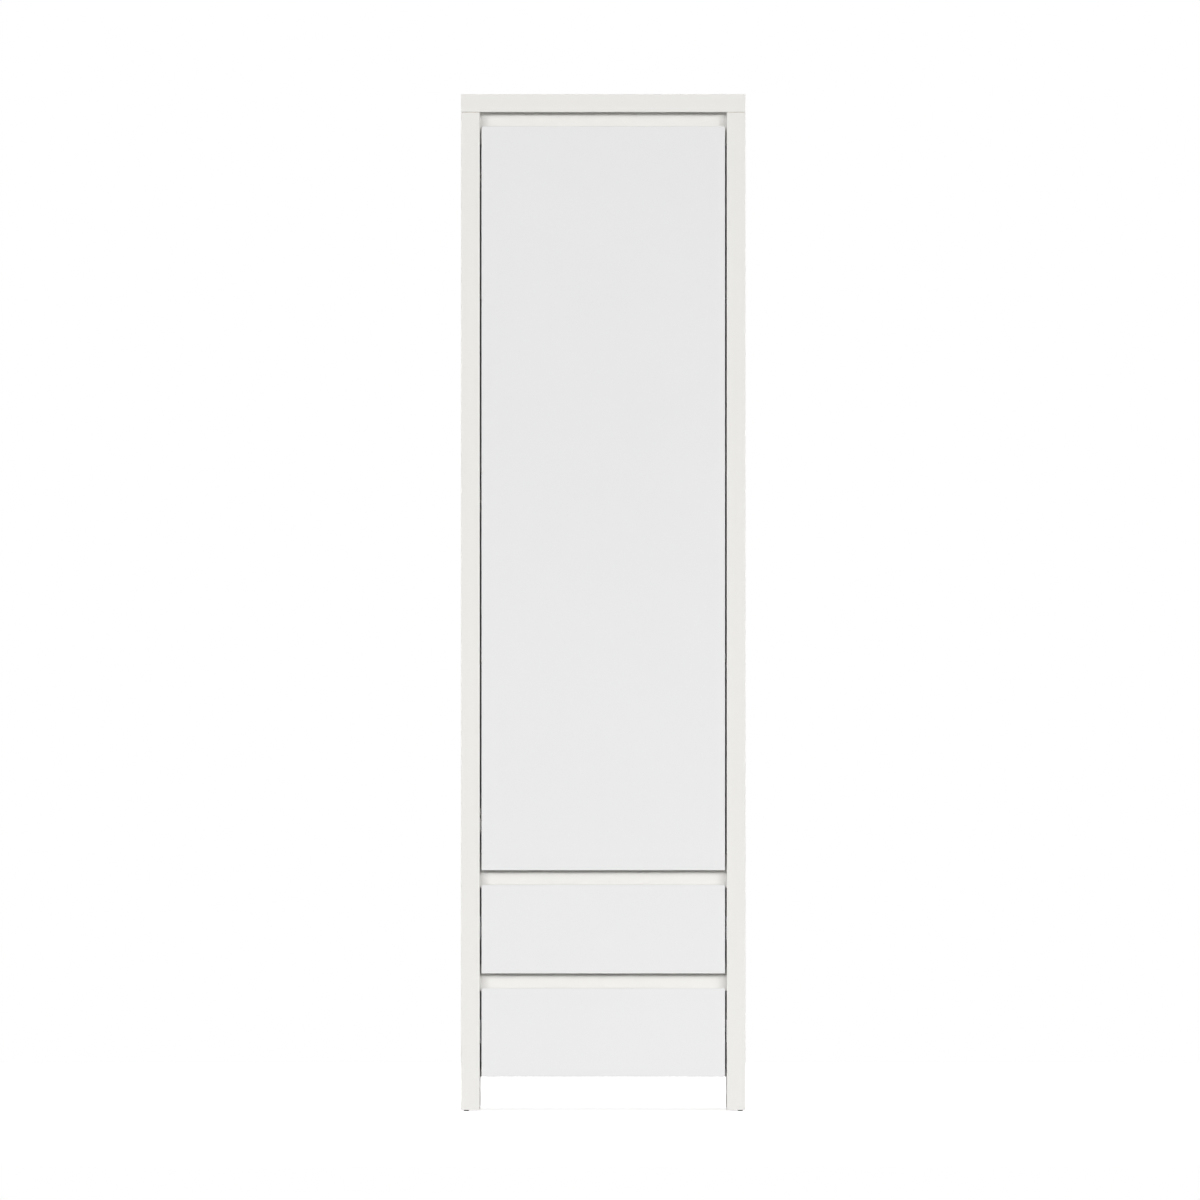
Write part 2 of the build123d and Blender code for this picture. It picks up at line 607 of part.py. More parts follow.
for level, underside in SHELF_Z.items():
    with BuildPart() as shelf:
        shelf_x = INNER_X - SHELF_CLEARANCE
        slab(
            (-shelf_x, shelf_x),
            (FRONT_Y + SHELF_SETBACK, BACK_Y[0] - 2),
            (underside, underside + BOARD_T),
        )
        fillet(shelf.edges().filter_by(Axis.X).group_by(Axis.Y)[0], SHELF_EDGE_R)
    save(shelf, f"shelf_{level}")

STRIP_WEB = 2.0
STRIP_REACH = 9.0
back_pieces = (
    ("upper", (BACK_SPLIT_Z + STRIP_WEB / 2, SIDE_TOP + 8)),
    ("lower", (BOTTOM_Z[0] + 0.5, BACK_SPLIT_Z - STRIP_WEB / 2)),
)
for name, z in back_pieces:
    with BuildPart() as back_panel:
        slab((-BACK_X, BACK_X), BACK_Y, z)
        rods(facing_front(BACK_Y[1]), [(0, BRACKET_Z)], 2 * WALL_HOLE_R, BACK_T, mode=Mode.SUBTRACT)
        let_in(back_panel_nails)
    save(back_panel, f"back_panel_{name}")

with BuildPart() as back_joining_strip:
    strip_x = INNER_X - 0.5
    slab((-strip_x, strip_x), BACK_Y, (BACK_SPLIT_Z - STRIP_WEB / 2, BACK_SPLIT_Z + STRIP_WEB / 2))
    for y in ((BACK_Y[0] - 1, BACK_Y[0]), (BACK_Y[1], REAR_Y)):
        slab((-strip_x, strip_x), y, (BACK_SPLIT_Z - STRIP_REACH, BACK_SPLIT_Z + STRIP_REACH))
save(back_joining_strip, "back_joining_strip")

# ---------------------------------------------------------------- small fittings

with BuildPart() as wall_bracket:
    bracket_y = (REAR_RAIL_Y[0] - BRACKET_T, REAR_RAIL_Y[0])
    bracket_z = (BRACKET_Z - BRACKET_HALF[1], BRACKET_Z + BRACKET_HALF[1])
    slab((-BRACKET_HALF[0], BRACKET_HALF[0]), bracket_y, bracket_z)
    fillet(wall_bracket.edges().filter_by(Axis.Y), BRACKET_CORNER_R)
    rods(facing_front(REAR_RAIL_Y[0]), [(0, BRACKET_Z)], WALL_HOLE_R, BRACKET_T, mode=Mode.SUBTRACT)
    let_in(euro_screws)
save(wall_bracket, "wall_bracket")

# Soft stops on the rails and the bottom panel, just short of the closed fronts
BUMPER_R = 4.0
BUMPER_SHORT = 0.4
BUMPER_X = 225.0
BUMPER_EDGE_R = 1.2
with BuildPart() as front_bumpers:
    # two for the door on the side away from its hinges, and two for each drawer
    door_stops = (middle((RAIL_TOP_Z[0], DOOR_Z[1])), middle((DOOR_Z[0], RAIL_MIDDLE_Z[1])))
    drawer_stops = (middle((DRAWER_1_Z[0], RAIL_LOWER_Z[1])), middle(BOTTOM_Z))
    places = [(BUMPER_X, z) for z in door_stops]
    places += [(side * BUMPER_X, z) for z in drawer_stops for _, side in SIDES]
    bumper_length = RAIL_Y[0] - FRONT_BACK_Y - BUMPER_SHORT
    rods(facing_front(RAIL_Y[0]), places, BUMPER_R, bumper_length)
    fillet(front_bumpers.edges().group_by(Axis.Y)[0], BUMPER_EDGE_R)
save(front_bumpers, "front_bumpers")
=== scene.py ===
"""Looks for the narrow white wardrobe: camera, studio light, materials and small details.

Everything is in metres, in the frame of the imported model: +X right, the fronts face -Y,
+Z up, and the origin is on the floor under the middle of the cabinet.
"""

import json
import math

import bmesh
import bpy
from mathutils import Matrix, Vector


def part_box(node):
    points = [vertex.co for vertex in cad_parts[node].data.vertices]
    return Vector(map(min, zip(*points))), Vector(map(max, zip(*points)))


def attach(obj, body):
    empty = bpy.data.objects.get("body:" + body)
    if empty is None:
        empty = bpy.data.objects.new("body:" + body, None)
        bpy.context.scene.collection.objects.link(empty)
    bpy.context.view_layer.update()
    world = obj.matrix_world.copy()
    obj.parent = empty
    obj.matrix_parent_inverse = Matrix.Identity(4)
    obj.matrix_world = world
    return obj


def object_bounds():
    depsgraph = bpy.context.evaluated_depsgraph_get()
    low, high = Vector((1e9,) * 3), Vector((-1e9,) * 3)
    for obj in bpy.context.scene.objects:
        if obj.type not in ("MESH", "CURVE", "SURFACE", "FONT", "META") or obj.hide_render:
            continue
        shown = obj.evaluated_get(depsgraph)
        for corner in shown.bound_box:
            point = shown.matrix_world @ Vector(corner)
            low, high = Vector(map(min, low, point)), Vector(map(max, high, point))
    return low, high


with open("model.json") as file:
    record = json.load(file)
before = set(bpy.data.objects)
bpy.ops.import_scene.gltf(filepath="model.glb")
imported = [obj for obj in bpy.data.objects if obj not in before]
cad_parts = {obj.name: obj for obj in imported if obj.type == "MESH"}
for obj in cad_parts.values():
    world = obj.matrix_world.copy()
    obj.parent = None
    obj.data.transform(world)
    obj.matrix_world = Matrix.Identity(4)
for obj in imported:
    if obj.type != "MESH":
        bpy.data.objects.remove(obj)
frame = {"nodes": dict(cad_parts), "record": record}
nodes = frame["nodes"]
subparts = frame["record"]["subparts"]
cad_low, cad_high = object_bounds()
MM = 0.001

# ---------------------------------------------------------------- camera

VIEW_WIDTH = 2.3832  # width of the picture at the cabinet's front
CAMERA_BACK = 70.0
CAMERA_HEIGHT = 1.0153
CAMERA_SIDE = -0.0065
SENSOR_WIDTH = 36.0


def make_camera():
    """A very long lens, square on to the fronts."""
    data = bpy.data.cameras.new("camera")
    data.sensor_width = SENSOR_WIDTH
    data.lens = SENSOR_WIDTH * CAMERA_BACK / VIEW_WIDTH
    data.clip_start = 1.0
    data.clip_end = 2 * CAMERA_BACK
    camera = bpy.data.objects.new("camera", data)
    camera.location = (CAMERA_SIDE, cad_low.y - CAMERA_BACK, CAMERA_HEIGHT)
    camera.rotation_euler = (math.radians(90), 0, 0)
    bpy.context.scene.collection.objects.link(camera)
    bpy.context.scene.camera = camera


make_camera()
bpy.context.scene.view_settings.view_transform = "Standard"

# ---------------------------------------------------------------- light

BACKDROP = 1.0  # what the camera sees behind the cabinet
FILL_ABOVE = 0.04
FILL_BELOW = 0.08
FILL_BLEND = 0.2  # the fill changes from one to the other between this far below and above level
SUN_PLACE = (0.0, -6.0, 3.0)  # where the sun lamps are drawn: only their direction counts
SUNS = (
    # name, degrees to the right of the front, degrees above level, spread in degrees, strength
    ("key_left", -14.0, 12.0, 9.0, 0.51),
    ("key_right", 14.0, 12.0, 9.0, 0.51),
    ("left", -32.0, 14.0, 18.0, 0.98),
    ("right", 32.0, 14.0, 18.0, 0.98),
)
SOFTBOXES = (
    # name, place, aimed at, size, power
    ("low", (0.0, -4.0, 0.25), (0.0, -0.28, 0.5), (3.0, 0.4), 9.0),
    ("side_left", (-4.0, 1.1, 1.5), (0.0, 0.2, 1.0), (2.6, 2.4), 100.0),
    ("side_right", (4.0, 1.1, 1.5), (0.0, 0.2, 1.0), (2.6, 2.4), 100.0),
    ("overhead", (0.0, 1.6, 4.4), (0.0, 0.3, 0.0), (3.2, 2.6), 80.0),
    ("back", (0.6, 4.3, 2.4), (0.0, 0.28, 1.0), (3.0, 2.2), 110.0),
)


def make_world():
    """White behind the cabinet, and a dim fill that is stronger from below."""
    world = bpy.data.worlds.new("studio")
    world.use_nodes = True
    tree = world.node_tree
    tree.nodes.clear()
    coords = tree.nodes.new("ShaderNodeTexCoord")
    split = tree.nodes.new("ShaderNodeSeparateXYZ")
    tree.links.new(coords.outputs["Generated"], split.inputs[0])
    strength = tree.nodes.new("ShaderNodeMapRange")
    tree.links.new(split.outputs["Z"], strength.inputs["Value"])
    strength.inputs["From Min"].default_value = -FILL_BLEND
    strength.inputs["From Max"].default_value = FILL_BLEND
    strength.inputs["To Min"].default_value = FILL_BELOW
    strength.inputs["To Max"].default_value = FILL_ABOVE
    fill = tree.nodes.new("ShaderNodeBackground")
    fill.inputs["Color"].default_value = (1, 1, 1, 1)
    tree.links.new(strength.outputs[0], fill.inputs["Strength"])
    seen = tree.nodes.new("ShaderNodeBackground")
    seen.inputs["Color"].default_value = (1, 1, 1, 1)
    seen.inputs["Strength"].default_value = BACKDROP
    path = tree.nodes.new("ShaderNodeLightPath")
    mix = tree.nodes.new("ShaderNodeMixShader")
    out = tree.nodes.new("ShaderNodeOutputWorld")
    tree.links.new(path.outputs["Is Camera Ray"], mix.inputs["Fac"])
    tree.links.new(fill.outputs[0], mix.inputs[1])
    tree.links.new(seen.outputs[0], mix.inputs[2])
    tree.links.new(mix.outputs[0], out.inputs["Surface"])
    bpy.context.scene.world = world


def make_sun(name, side, elevation, spread, strength):
    """A far light in front of the cabinet; its spread softens the shadows."""
    data = bpy.data.lights.new(name, "SUN")
    data.energy = strength
    data.angle = math.radians(spread)
    light = bpy.data.objects.new(name, data)
    light.location = SUN_PLACE
    light.rotation_euler = (math.radians(90 - elevation), 0, math.radians(side))
    bpy.context.scene.collection.objects.link(light)


def make_softbox(name, place, target, size, power):
    """A large rectangular light, never seen by the camera."""
    data = bpy.data.lights.new(name, "AREA")
    data.shape = "RECTANGLE"
    data.size, data.size_y = size
    data.energy = power
    light = bpy.data.objects.new(name, data)
    light.location = place
    aim = Vector(target) - Vector(place)
    light.rotation_euler = aim.to_track_quat("-Z", "Y").to_euler()
    light.visible_camera = False
    bpy.context.scene.collection.objects.link(light)


make_world()
for sun in SUNS:
    make_sun(*sun)
for softbox in SOFTBOXES:
    make_softbox(*softbox)

# ---------------------------------------------------------------- shader helpers


class Graph:
    """A material's node tree, with short calls for the nodes that the materials share."""

    def __init__(self, name):
        self.material = bpy.data.materials.new(name)
        self.material.use_nodes = True
        self.tree = self.material.node_tree
        self.shader = self.tree.nodes["Principled BSDF"]
        self.coords = self.tree.nodes.new("ShaderNodeTexCoord")

    def join(self, source, target):
        self.tree.links.new(source, target)

    def put(self, value, socket):
        """Link a socket, or set it to a number or a colour."""
        if isinstance(value, bpy.types.NodeSocket):
            self.join(value, socket)
        else:
            socket.default_value = value

    def math(self, operation, a, b):
        node = self.tree.nodes.new("ShaderNodeMath")
        node.operation = operation
        self.put(a, node.inputs[0])
        self.put(b, node.inputs[1])
        return node.outputs[0]

    def split(self, vector):
        node = self.tree.nodes.new("ShaderNodeSeparateXYZ")
        self.join(vector, node.inputs[0])
        return node.outputs

    def length(self, vector):
        node = self.tree.nodes.new("ShaderNodeVectorMath")
        node.operation = "LENGTH"
        self.join(vector, node.inputs[0])
        return node.outputs["Value"]

    def stretched(self, scale):
        """Object coordinates, multiplied along each axis."""
        node = self.tree.nodes.new("ShaderNodeMapping")
        self.join(self.coords.outputs["Object"], node.inputs["Vector"])
        node.inputs["Scale"].default_value = scale
        return node.outputs[0]

    def noise(self, scale, detail, vector=None, roughness=0.5):
        """Noise with about this many features per metre."""
        node = self.tree.nodes.new("ShaderNodeTexNoise")
        self.join(vector or self.coords.outputs["Object"], node.inputs["Vector"])
        node.inputs["Scale"].default_value = scale
        node.inputs["Detail"].default_value = detail
        node.inputs["Roughness"].default_value = roughness
        return node.outputs["Fac"]

    def cells(self, scale, vector):
        """Irregular cells, about this many per metre."""
        node = self.tree.nodes.new("ShaderNodeTexVoronoi")
        self.join(vector, node.inputs["Vector"])
        node.inputs["Scale"].default_value = scale
        return node.outputs

    def span(self, value, low, high, to_low, to_high):
        """Map a value from one range to another, clamped."""
        node = self.tree.nodes.new("ShaderNodeMapRange")
        self.join(value, node.inputs["Value"])
        for key, number in zip(("From Min", "From Max", "To Min", "To Max"), (low, high, to_low, to_high)):
            node.inputs[key].default_value = number
        return node.outputs[0]

    def ramp(self, value, stops):
        """Colours along a value, from (position, colour) stops."""
        node = self.tree.nodes.new("ShaderNodeValToRGB")
        self.join(value, node.inputs["Fac"])
        elements = node.color_ramp.elements
        while len(elements) < len(stops):
            elements.new(0.5)
        for element, (position, colour) in zip(elements, stops):
            element.position = position
            element.color = (*colour, 1.0)
        return node.outputs["Color"]

    def mix(self, fac, a, b):
        """Mix two colours, each a socket or an RGBA value."""
        node = self.tree.nodes.new("ShaderNodeMix")
        node.data_type = "RGBA"
        self.put(fac, node.inputs["Factor"])
        self.put(a, node.inputs[6])  # by number, because other sockets have the same names
        self.put(b, node.inputs[7])
        return node.outputs[2]

    def bump(self, height, distance, strength, below=None):
        """A normal from a height, laid over another bump if one is given."""
        node = self.tree.nodes.new("ShaderNodeBump")
        node.inputs["Distance"].default_value = distance
        node.inputs["Strength"].default_value = strength
        self.join(height, node.inputs["Height"])
        if below is not None:
            self.join(below, node.inputs["Normal"])
        return node.outputs[0]

    def surface(self, **inputs):
        """Set the shader's inputs by name, with _ for each space."""
        for name, value in inputs.items():
            self.put(value, self.shader.inputs[name.replace("_", " ")])
        return self.material


def shade(colour, factor):
    """A colour made lighter or darker."""
    return tuple(channel * factor for channel in colour)


def dress(node_name, material):
    """Give a CAD node one material."""
    slots = nodes[node_name].data.materials
    slots.clear()
    slots.append(material)


# ---------------------------------------------------------------- board materials

CARCASS_WHITE = (0.845, 0.835, 0.805)
# the carcass white painted darker for the grip rails: painted shade that cancels the extra light the white
# recess throws on them
RAIL_PAINTED_SHADE_WHITE = (0.790, 0.782, 0.756)  # the rails sit in a white recess that lightens them
FRONT_WHITE = (0.838, 0.838, 0.838)
BOX_WHITE = (0.80, 0.79, 0.765)
LACQUER_WHITE = (0.78, 0.775, 0.755)
CHIP_LIGHT = (0.60, 0.43, 0.26)
CHIP_MID = (0.44, 0.29, 0.16)
CHIP_DARK = (0.26, 0.16, 0.085)
HDF_BROWN = (0.28, 0.16, 0.085)
CARCASS_ROUGHNESS = 0.42
FRONT_ROUGHNESS = 0.36
BOX_ROUGHNESS = 0.45
CORE_ROUGHNESS = 0.85
CORE_DEPTH = 0.7 * MM  # a surface this far inside a board's box is bare core
GRIP_BEVEL = 12 * MM  # counted as foil from the top of a front down, because of its finger bevel


def bare_core(g, node_name, raw_faces, grip_bevel):
    """1 where the board's core shows: in bores and grooves, and on the faces left unbanded."""
    low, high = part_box(node_name)
    position = g.split(g.coords.outputs["Object"])
    normal = g.split(g.coords.outputs["Normal"])
    depth = None
    for axis in range(3):
        from_low = g.math("SUBTRACT", position[axis], low[axis])
        from_high = g.math("SUBTRACT", high[axis], position[axis])
        if axis == 2 and grip_bevel:
            from_high = g.math("SUBTRACT", from_high, grip_bevel)
        nearest = g.math("MINIMUM", from_low, from_high)
        depth = nearest if depth is None else g.math("MINIMUM", depth, nearest)
    mask = g.math("GREATER_THAN", depth, CORE_DEPTH)
    for axis, sign in raw_faces:
        facing = g.math("GREATER_THAN", g.math("MULTIPLY", normal[axis], float(sign)), 0.8)
        mask = g.math("MAXIMUM", mask, facing)
    return mask


def chipboard(g):
    """Pressed chips of several tones, a few millimetres long: their colour and their height."""
    chips = g.cells(420.0, g.stretched((1.0, 1.0, 1.7)))
    tone = g.split(chips["Color"])[0]
    colour = g.ramp(tone, ((0.0, CHIP_DARK), (0.45, CHIP_MID), (1.0, CHIP_LIGHT)))
    return colour, chips["Distance"]


def melamine(name, node_name, white, roughness, raw_faces=(), grip_bevel=0.0, grain=1.0):
    """White foil on chipboard: a fine pearl texture, faint cloudiness, and bare core where cut."""
    g = Graph(name)
    foil = g.ramp(g.noise(2.2, 3.0), ((0.35, shade(white, 0.988)), (0.65, white)))
    mask = bare_core(g, node_name, raw_faces, grip_bevel)
    core, chip_height = chipboard(g)
    colour = g.mix(mask, foil, core)
    gloss = g.span(g.noise(60.0, 3.0), 0.3, 0.7, roughness - 0.04, roughness + 0.05)
    rough = g.math("MAXIMUM", gloss, g.math("MULTIPLY", mask, CORE_ROUGHNESS))
    swell = g.bump(g.noise(160.0, 1.0), 0.04 * MM * grain, 0.25)
    pearl = g.bump(g.noise(1150.0, 2.0), 0.03 * MM * grain, 0.35, below=swell)
    normal = g.bump(g.math("MULTIPLY", chip_height, mask), 0.4 * MM, 0.6, below=pearl)
    return g.surface(Base_Color=colour, Roughness=rough, Normal=normal)


def fibreboard(name, axis, sign):
    """Thin board: white lacquer on the side that faces along this axis, raw brown fibres elsewhere."""
    g = Graph(name)
    normal = g.split(g.coords.outputs["Normal"])
    white_side = g.math("GREATER_THAN", g.math("MULTIPLY", normal[axis], float(sign)), 0.5)
    fibres = g.noise(900.0, 4.0, g.stretched((1.0, 1.0, 0.35)), 0.7)
    raw = g.ramp(fibres, ((0.3, shade(HDF_BROWN, 0.72)), (0.7, shade(HDF_BROWN, 1.45))))
    patches = g.span(g.noise(9.0, 3.0), 0.3, 0.7, 0.0, 0.35)
    raw = g.mix(patches, raw, (*shade(HDF_BROWN, 1.25), 1.0))
    lacquer = g.ramp(g.noise(3.0, 2.0), ((0.35, shade(LACQUER_WHITE, 0.985)), (0.65, LACQUER_WHITE)))
    colour = g.mix(white_side, raw, lacquer)
    rough = g.span(white_side, 0.0, 1.0, 0.82, 0.5)
    return g.surface(Base_Color=colour, Roughness=rough, Normal=g.bump(fibres, 0.05 * MM, 0.5))


# The faces of a board that have no foil or edge band, each an axis and a direction along it
REAR, UNDER, OVER = (1, 1), (2, -1), (2, 1)
RAW_FACES = {
    "side_panel_left": (REAR, UNDER, OVER),
    "side_panel_right": (REAR, UNDER, OVER),
    "top_panel": (REAR,),
    "bottom_panel": (REAR,),
    "compartment_floor": (REAR,),
    "rear_rail": (UNDER, OVER),
    "grip_rail_top": (OVER,),
    "shelf_lower": (REAR,),
    "shelf_middle": (REAR,),
    "shelf_upper": (REAR,),
}


def dress_boards():
    """Every board gets its own material, because its core mask follows its own box."""
    for row in subparts:
        node_name, slot = row["node"], row["material_slot"]
        name = f"{slot}_{node_name}"
        if slot == "carcass_melamine":
            # the grip rails take the carcass white painted darker, as painted shade
            white = RAIL_PAINTED_SHADE_WHITE if node_name.startswith("grip_rail") else CARCASS_WHITE
            raw_faces = RAW_FACES.get(node_name, ())
            dress(node_name, melamine(name, node_name, white, CARCASS_ROUGHNESS, raw_faces))
        elif slot == "front_lacquer":
            foil = melamine(name, node_name, FRONT_WHITE, FRONT_ROUGHNESS, grip_bevel=GRIP_BEVEL, grain=0.5)
            dress(node_name, foil)
        elif slot == "drawer_box_melamine":
            dress(node_name, melamine(name, node_name, BOX_WHITE, BOX_ROUGHNESS, (REAR, UNDER)))


# ---------------------------------------------------------------- other materials


def plated(name, colour, roughness, grain_axis=None, tint=0.06):
    """Plated sheet steel, with fine draw lines along one axis and a mottled sheen."""
    g = Graph(name)
    stretch = [1.0, 1.0, 1.0]
    if grain_axis is not None:
        stretch[grain_axis] = 0.02
    lines = g.noise(2600.0, 2.0, g.stretched(stretch), 0.6)
    tones = ((0.3, shade(colour, 1 - tint)), (0.7, shade(colour, 1 + tint / 2)))
    base = g.ramp(g.noise(70.0, 3.0), tones)
    rough = g.span(lines, 0.3, 0.7, roughness - 0.07, roughness + 0.1)
    return g.surface(Base_Color=base, Metallic=1.0, Roughness=rough, Normal=g.bump(lines, 0.01 * MM, 0.3))


def plastic(name, colour, roughness):
    """Moulded plastic with a fine spark-eroded texture."""
    g = Graph(name)
    tone = g.ramp(g.noise(40.0, 2.0), ((0.3, shade(colour, 0.94)), (0.7, shade(colour, 1.04))))
    rough = g.span(g.noise(120.0, 2.0), 0.3, 0.7, roughness - 0.05, roughness + 0.06)
    normal = g.bump(g.noise(2000.0, 2.0), 0.02 * MM, 0.35)
    return g.surface(Base_Color=tone, Roughness=rough, Normal=normal)


def soft_bumper(name):
    """Clear soft plastic, slightly milky."""
    g = Graph(name)
    tone = g.ramp(g.noise(300.0, 2.0), ((0.3, (0.72, 0.74, 0.74)), (0.7, (0.80, 0.82, 0.82))))
    normal = g.bump(g.noise(800.0, 1.0), 0.02 * MM, 0.2)
    return g.surface(Base_Color=tone, Roughness=0.22, Subsurface_Weight=0.3, Normal=normal)


def beech(name):
    """Raw beech with short dark flecks along the dowel."""
    g = Graph(name)
    flecks = g.noise(1400.0, 3.0, g.stretched((0.25, 0.25, 1.0)))
    tones = ((0.35, (0.42, 0.26, 0.13)), (0.55, (0.62, 0.43, 0.25)), (0.8, (0.68, 0.50, 0.31)))
    return g.surface(Base_Color=g.ramp(flecks, tones), Roughness=0.7, Normal=g.bump(flecks, 0.05 * MM, 0.4))


def dress_the_rest():
    """One material for each of the other slots, but two kinds of thin board."""
    by_slot = {
        "white_plastic": plastic("white_plastic", (0.80, 0.80, 0.78), 0.4),
        "glide_plastic": plastic("glide_plastic", (0.045, 0.045, 0.05), 0.5),
        "bumper_rubber": soft_bumper("clear_bumper"),
        "beech_dowel": beech("raw_beech"),
        "zinc_cam": plated("zinc_casting", (0.46, 0.47, 0.49), 0.48),
        "zinc_plated_steel": plated("zinc_sheet", (0.60, 0.62, 0.64), 0.3, grain_axis=1),
        "nickel_plated_steel": plated("nickel", (0.66, 0.64, 0.60), 0.24, grain_axis=1, tint=0.03),
        "fastener_steel": plated("screw_steel", (0.55, 0.56, 0.57), 0.34),
    }
    back_board = fibreboard("hdf_back", 1, -1)
    drawer_board = fibreboard("hdf_drawer", 2, 1)
    for row in subparts:
        node_name, slot = row["node"], row["material_slot"]
        if slot in by_slot:
            dress(node_name, by_slot[slot])
        elif slot == "hdf_board":
            dress(node_name, drawer_board if node_name.startswith("drawer") else back_board)


dress_boards()
dress_the_rest()

# ---------------------------------------------------------------- driver recesses, as painted shade


def new_piece(name, mesh_builder, material, body):
    """Turn a bmesh into a piece of the object that rides on a body."""
    mesh = bpy.data.meshes.new(name)
    mesh_builder.to_mesh(mesh)
    mesh_builder.free()
    mesh.materials.append(material)
    piece = bpy.data.objects.new(name, mesh)
    bpy.context.scene.collection.objects.link(piece)
    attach(piece, body)


def solids_of(node_name):
    """The separate solids of a CAD node, as lists of vertex positions."""
    bm = bmesh.new()
    bm.from_mesh(nodes[node_name].data)
    bmesh.ops.remove_doubles(bm, verts=bm.verts, dist=0.01 * MM)
    bm.verts.ensure_lookup_table()
    seen, groups = set(), []
    for start in bm.verts:
        if start.index in seen:
            continue
        stack, group = [start], []
        seen.add(start.index)
        while stack:
            vertex = stack.pop()
            group.append(vertex.co.copy())
            for edge in vertex.link_edges:
                other = edge.other_vert(vertex)
                if other.index not in seen:
                    seen.add(other.index)
                    stack.append(other)
        groups.append(group)
    bm.free()
    return groups


END_SLICE = 0.2 * MM  # points this near a screw's end belong to its end face


def screw_head(points):
    """Centre of a screw's head face, the direction it faces, and its radius."""
    low = Vector([min(p[i] for p in points) for i in range(3)])
    high = Vector([max(p[i] for p in points) for i in range(3)])
    size = high - low
    axis = max(range(3), key=lambda i: size[i])
    centre = (low + high) / 2
    others = [i for i in range(3) if i != axis]

    def reach(end):
        """The screw's radius at one of its ends."""
        near = [p for p in points if abs(p[axis] - end) < END_SLICE]
        return max(math.hypot(*(p[i] - centre[i] for i in others)) for p in near)

    sign, end = (1, high[axis]) if reach(high[axis]) > reach(low[axis]) else (-1, low[axis])
    face = centre.copy()
    face[axis] = end
    facing = Vector((0, 0, 0))
    facing[axis] = sign
    return face, facing, reach(end)


CROSS_REACH = 0.448  # length of a cross's arm, as a share of the head's radius
CROSS_ROOT = 0.11  # half the arm's width where the arms meet
CROSS_TIP = 0.0605  # half the arm's width at its tip
CROSS_PROUD = 0.03 * MM
CROSS_DEPTH = 0.2 * MM
CROSS_TURN = 37  # degrees from one screw's cross to the next, so that they don't line up


def add_cross(bm, face, facing, radius, turn):
    """A dark cross let into a screw's head: painted shade that stands for the shadowed driver recess."""
    reach, root, tip = CROSS_REACH * radius, CROSS_ROOT * radius, CROSS_TIP * radius
    quarters = [Matrix.Rotation(math.radians(90 * i), 2) for i in range(4)]
    points = [spin @ Vector(p) for spin in quarters for p in ((reach, tip), (root, root), (tip, reach))]
    rotate = facing.to_track_quat("Z", "Y").to_matrix() @ Matrix.Rotation(turn, 3, "Z")
    rim = [bm.verts.new(face + rotate @ Vector((*p, CROSS_PROUD))) for p in points]
    base = [bm.verts.new(face + rotate @ Vector((*p, -CROSS_DEPTH))) for p in points]
    bm.faces.new(rim)
    bm.faces.new(list(reversed(base)))
    for i in range(len(points)):
        j = (i + 1) % len(points)
        bm.faces.new((rim[i], base[i], base[j], rim[j]))


def make_crosses(name, node_name, body):
    """Dark crosses in the heads of all screws of a node: painted shade for their driver recesses."""
    bm = bmesh.new()
    for count, points in enumerate(solids_of(node_name)):
        add_cross(bm, *screw_head(points), turn=math.radians(CROSS_TURN * count % 90))
    bmesh.ops.recalc_face_normals(bm, faces=bm.faces)
    new_piece(name, bm, recess_painted_shade, body)


# near-black plated steel for the crosses: painted shade where the real recesses are only in shadow
recess_painted_shade = plated("recess_painted_shade", (0.10, 0.10, 0.105), 0.55)
make_crosses("screw_recess_shade_carcass", "euro_screws", "carcass")
make_crosses("screw_recess_shade_door", "hinge_cup_screws", "door")
for level in ("upper", "lower"):
    make_crosses(f"screw_recess_shade_drawer_{level}", f"drawer_{level}_screws", f"drawer_{level}")

# ---------------------------------------------------------------- bearing balls of the slides

BALL_R = 0.95 * MM
BALL_STEP = 7.0 * MM
BALL_IN = 8.2 * MM  # from the side panel's face to the balls' centres
BALL_RISE = 20.25 * MM  # above and below the middle of the slide
CAGE_LENGTH = 160 * MM
CAGE_FROM_END = 12 * MM
CAGE_WIDTH = 4.2 * MM
CAGE_T = 0.4 * MM


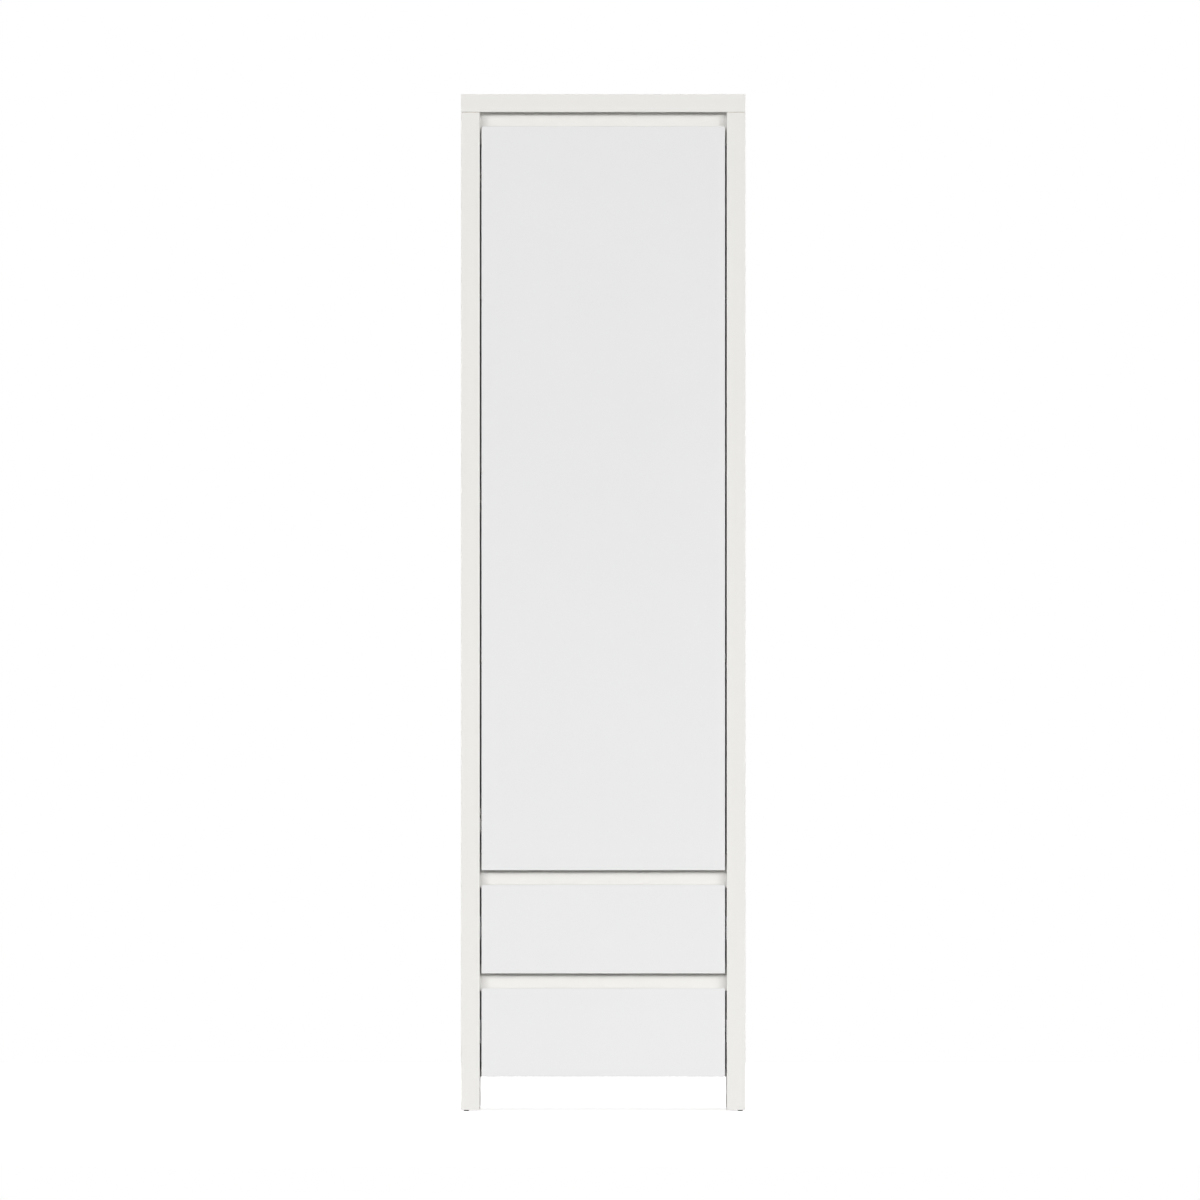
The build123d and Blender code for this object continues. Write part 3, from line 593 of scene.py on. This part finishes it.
def add_ball_row(bm, x, start, z):
    """One cage strip with its balls, from its front end backwards."""
    for i in range(int(CAGE_LENGTH / BALL_STEP)):
        place = Matrix.Translation((x, start + (i + 0.5) * BALL_STEP, z))
        ball = bmesh.ops.create_uvsphere(bm, u_segments=10, v_segments=6, radius=BALL_R, matrix=place)
        for vertex in ball["verts"]:
            for face in vertex.link_faces:
                face.smooth = True
    strip = Matrix.Translation((x, start + CAGE_LENGTH / 2, z))
    strip @= Matrix.Diagonal((CAGE_WIDTH, CAGE_LENGTH, CAGE_T, 1.0))
    bmesh.ops.create_cube(bm, size=1.0, matrix=strip)


def make_ball_cages(level):
    """Rows of bearing balls in their cages, between the members of both slides of a drawer."""
    bm = bmesh.new()
    low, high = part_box(f"slide_{level}_middle_members")
    middle_z = (low.z + high.z) / 2
    left_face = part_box(f"slide_{level}_left_cabinet_member")[0].x
    right_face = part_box(f"slide_{level}_right_cabinet_member")[1].x
    for x in (left_face + BALL_IN, right_face - BALL_IN):
        for z in (middle_z - BALL_RISE, middle_z + BALL_RISE):
            for start in (low.y + CAGE_FROM_END, high.y - CAGE_FROM_END - CAGE_LENGTH):
                add_ball_row(bm, x, start, z)
    new_piece(f"ball_cages_{level}", bm, ball_steel, f"middle_slides_{level}")


ball_steel = plated("ball_steel", (0.72, 0.73, 0.74), 0.12)
for level in ("upper", "lower"):
    make_ball_cages(level)

# ---------------------------------------------------------------- floor

FLOOR_RADIUS = 7.0
FLOOR_WHITE = 0.6
GLOW_NEAR = 0.82  # low by the cabinet, so that its soft shadow shows
GLOW_FAR = 1.0  # white at the rim, so that the floor runs into the backdrop
GLOW_SPAN = (0.6, 3.0)  # from near to far, as distances from the middle of the cabinet


def make_floor():
    """A pale round floor that glows enough to stay white, and still takes a soft shadow."""
    bm = bmesh.new()
    bmesh.ops.create_circle(bm, cap_ends=True, segments=96, radius=FLOOR_RADIUS)
    mesh = bpy.data.meshes.new("floor")
    bm.to_mesh(mesh)
    bm.free()
    floor = bpy.data.objects.new("floor", mesh)
    floor.location = (0, 0, cad_low.z)
    bpy.context.scene.collection.objects.link(floor)
    g = Graph("studio_floor")
    glow = g.span(g.length(g.coords.outputs["Object"]), *GLOW_SPAN, GLOW_NEAR, GLOW_FAR)
    g.surface(Base_Color=(FLOOR_WHITE, FLOOR_WHITE, FLOOR_WHITE, 1.0), Roughness=0.9)
    g.surface(Emission_Color=(1, 1, 1, 1), Emission_Strength=glow)
    mesh.materials.append(g.material)
    floor.visible_diffuse = False
    floor.visible_shadow = False


make_floor()
